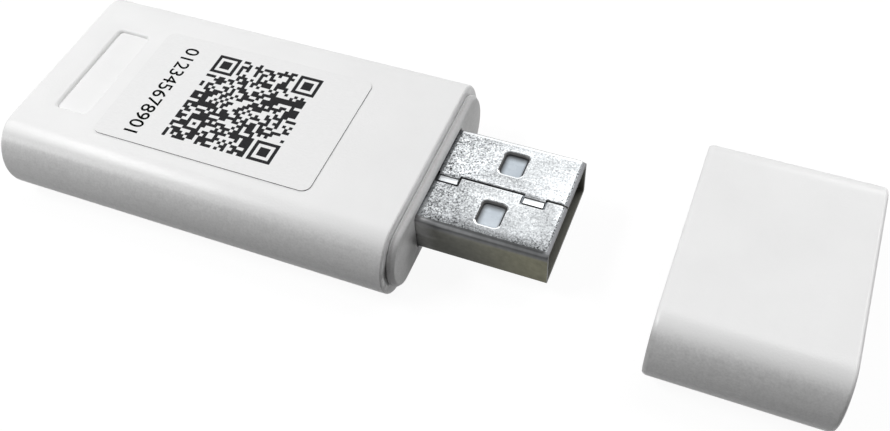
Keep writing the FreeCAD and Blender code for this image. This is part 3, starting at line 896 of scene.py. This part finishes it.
def addSquarePrint(ink):
    look = squarePrint
    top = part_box("label")[1].z
    cells = look["cells"]
    deselectAll()
    bpy.ops.mesh.primitive_grid_add(x_subdivisions=cells, y_subdivisions=cells, size=look["side"],
                                    location=(look["centreX"], look["centreY"], top))
    piece = bpy.context.object
    piece.name = "label_square_print"
    bpy.ops.object.mode_set(mode="EDIT")
    bpy.ops.mesh.select_mode(type="FACE")
    bpy.ops.mesh.select_all(action="DESELECT")
    bpy.ops.object.mode_set(mode="OBJECT")
    chances = random.Random(look["seed"])
    cell = look["side"] / cells
    for face in piece.data.polygons:
        column = int((face.center.x + look["side"] / 2) / cell)
        row = int((face.center.y + look["side"] / 2) / cell)
        face.select = not cellIsDark(column, row, chances.random())
    bpy.ops.object.mode_set(mode="EDIT")
    bpy.ops.mesh.delete(type="FACE")
    bpy.ops.mesh.select_all(action="SELECT")
    bpy.ops.mesh.extrude_region_move(TRANSFORM_OT_translate={"value": (0, 0, look["inkHeight"])})
    bpy.ops.object.mode_set(mode="OBJECT")
    bpy.ops.object.transform_apply(location=True, rotation=True, scale=True)
    ink.paint(piece)
    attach(piece, "dongle")


# Row of plain digits in counting order, read towards the near side with their tops to the plug.
# They are typed about a unit high, made bolder at that size, and then scaled to their place.
digitPrint = {
    "digits": "012345678901",
    "startY": mm(5.62),
    "endY": mm(-6.87),
    "baseX": mm(-8.825),
    "height": mm(1.57),
    "inkHeight": mm(0.008),
    "curveSteps": 4,
    "typedDepth": 0.5,
    "mergeDistance": 0.0001,
    "boldness": 0.012,
    "turn": -math.pi / 2,
}


def addDigitPrint(ink):
    look = digitPrint
    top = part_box("label")[1].z
    deselectAll()
    bpy.ops.object.text_add(location=(0, 0, 0))
    piece = bpy.context.object
    piece.name = "label_digit_print"
    piece.data.body = look["digits"]
    piece.data.extrude = look["typedDepth"]
    piece.data.resolution_u = look["curveSteps"]
    bpy.ops.object.convert(target="MESH")
    piece = bpy.context.object
    bpy.ops.object.mode_set(mode="EDIT")
    bpy.ops.mesh.select_all(action="SELECT")
    bpy.ops.mesh.remove_doubles(threshold=look["mergeDistance"])
    bpy.ops.mesh.normals_make_consistent(inside=False)
    bpy.ops.transform.shrink_fatten(value=look["boldness"])
    bpy.ops.object.mode_set(mode="OBJECT")
    low = [min(v.co[axis] for v in piece.data.vertices) for axis in range(3)]
    high = [max(v.co[axis] for v in piece.data.vertices) for axis in range(3)]
    wanted = (look["startY"] - look["endY"], look["height"], look["inkHeight"])
    scale = [size / (b - a) for size, a, b in zip(wanted, low, high)]
    piece.scale = scale
    piece.rotation_euler = (0, 0, look["turn"])
    corner = Vector([a * s for a, s in zip(low, scale)])
    start = Vector((look["baseX"], look["startY"], top))
    piece.location = start - Matrix.Rotation(look["turn"], 3, "Z") @ corner
    bpy.ops.object.transform_apply(location=True, rotation=True, scale=True)
    ink.paint(piece)
    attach(piece, "dongle")


# 1 for a ray from the camera, and for one that a glossy or clear surface sends on
def seenRays(recipe):
    rays = recipe.add("ShaderNodeLightPath")
    return rays.out("Is Camera Ray") + rays.out("Is Glossy Ray") + rays.out("Is Transmission Ray")


# Floor: a grey table to the light, and white with a faint shadow to the camera and reflections
floorLook = {
    "size": 6.0,
    "colour": grey(0.14),
    "seenGlow": 0.93,
    "seenColour": grey(0.10),
}


def addFloor():
    look = floorLook
    deselectAll()
    bpy.ops.mesh.primitive_plane_add(size=look["size"], location=(0, 0, 0))
    floor = bpy.context.object
    floor.name = "floor"
    material = bpy.data.materials.new("floorPaint")
    material.use_nodes = True
    recipe = Recipe(material.node_tree)
    material.node_tree.nodes.remove(material.node_tree.nodes["Principled BSDF"])
    output = material.node_tree.nodes["Material Output"]
    plain = recipe.add("ShaderNodeBsdfDiffuse", None, {"Color": look["colour"]}).out()
    shadowed = recipe.add("ShaderNodeBsdfDiffuse", None, {"Color": look["seenColour"]}).out()
    glow = recipe.add("ShaderNodeEmission", None, {"Strength": look["seenGlow"]}).out()
    white = recipe.add("ShaderNodeAddShader", None, {0: shadowed, 1: glow}).out()
    mixed = recipe.add("ShaderNodeMixShader", None, {0: seenRays(recipe), 1: plain, 2: white})
    recipe.fill(output, {"Surface": mixed.out()})
    floor.data.materials.append(material)


# World: even grey light, white where the camera or a reflection looks at it
worldLook = {
    "light": 0.05,
    "seen": 1.0,
}


def setWorld():
    look = worldLook
    world = bpy.data.worlds.new("studio")
    world.use_nodes = True
    bpy.context.scene.world = world
    recipe = Recipe(world.node_tree)
    strength = slide(seenRays(recipe), look["light"], look["seen"])
    recipe.fill(world.node_tree.nodes["Background"], {"Color": grey(1.0), "Strength": strength})


# Softboxes, all aimed at the plug's root: where each stands, its width and height, its watts
lamps = {
    "leftStrip": {"place": (-0.230, -0.110, 0.360), "size": (0.20, 0.05), "power": 0.977},
    "leftMiddle": {"place": (-0.303, 0.000, 0.323), "size": (0.16, 0.16), "power": 0.196},
    "leftFront": {"place": (-0.242, -0.187, 0.323), "size": (0.16, 0.16), "power": 0.161},
    "leftBack": {"place": (-0.242, 0.187, 0.323), "size": (0.16, 0.16), "power": 0.097},
    "highLeft": {"place": (-0.069, 0.146, 0.422), "size": (0.16, 0.16), "power": 0.126},
    "highRight": {"place": (0.099, 0.146, 0.422), "size": (0.16, 0.16), "power": 0.347},
    "middleRight": {"place": (0.272, 0.187, 0.323), "size": (0.16, 0.16), "power": 0.308},
    "lowBack": {"place": (0.144, 0.397, 0.174), "size": (0.16, 0.16), "power": 0.319},
    "lowRight": {"place": (0.353, 0.245, 0.174), "size": (0.16, 0.16), "power": 0.139},
}
lampAim = Vector((mm(15), 0, mm(5)))


def addLamps():
    for name, look in lamps.items():
        data = bpy.data.lights.new(name, "AREA")
        data.shape = "RECTANGLE"
        data.size, data.size_y = look["size"]
        data.energy = look["power"]
        lamp = bpy.data.objects.new(name, data)
        bpy.context.scene.collection.objects.link(lamp)
        lamp.location = look["place"]
        lamp.rotation_euler = (lampAim - lamp.location).to_track_quat("-Z", "Y").to_euler()


# Camera, solved from the plug's known section and the label's square
cameraLook = {
    "place": (mm(48.889), mm(-57.024), mm(79.844)),
    "turn": (38.2590, 2.6703, 21.7359),   # degrees about X, Y and Z
    "lens": 40.664,
    "sensor": 36.0,
    "nearest": 0.002,
    "farthest": 20.0,
}


def addCamera():
    look = cameraLook
    data = bpy.data.cameras.new("camera")
    data.lens = look["lens"]
    data.sensor_width = look["sensor"]
    data.clip_start = look["nearest"]
    data.clip_end = look["farthest"]
    camera = bpy.data.objects.new("camera", data)
    bpy.context.scene.collection.objects.link(camera)
    camera.location = look["place"]
    camera.rotation_euler = [math.radians(angle) for angle in look["turn"]]
    bpy.context.scene.camera = camera


addSoftEdges()
print("edges broken:", ", ".join(finished))
whitePlastic()
labelPaper()
plugSteel()
tonguePlastic()
insideFinishes()
print("finishes done")
addSquarePrint(labelInk("squareInk"))
addDigitPrint(labelInk("digitInk"))
print("label print done")
addFloor()
setWorld()
addLamps()
addCamera()
bpy.context.scene.view_settings.view_transform = "Standard"
print("stage, light and camera done")
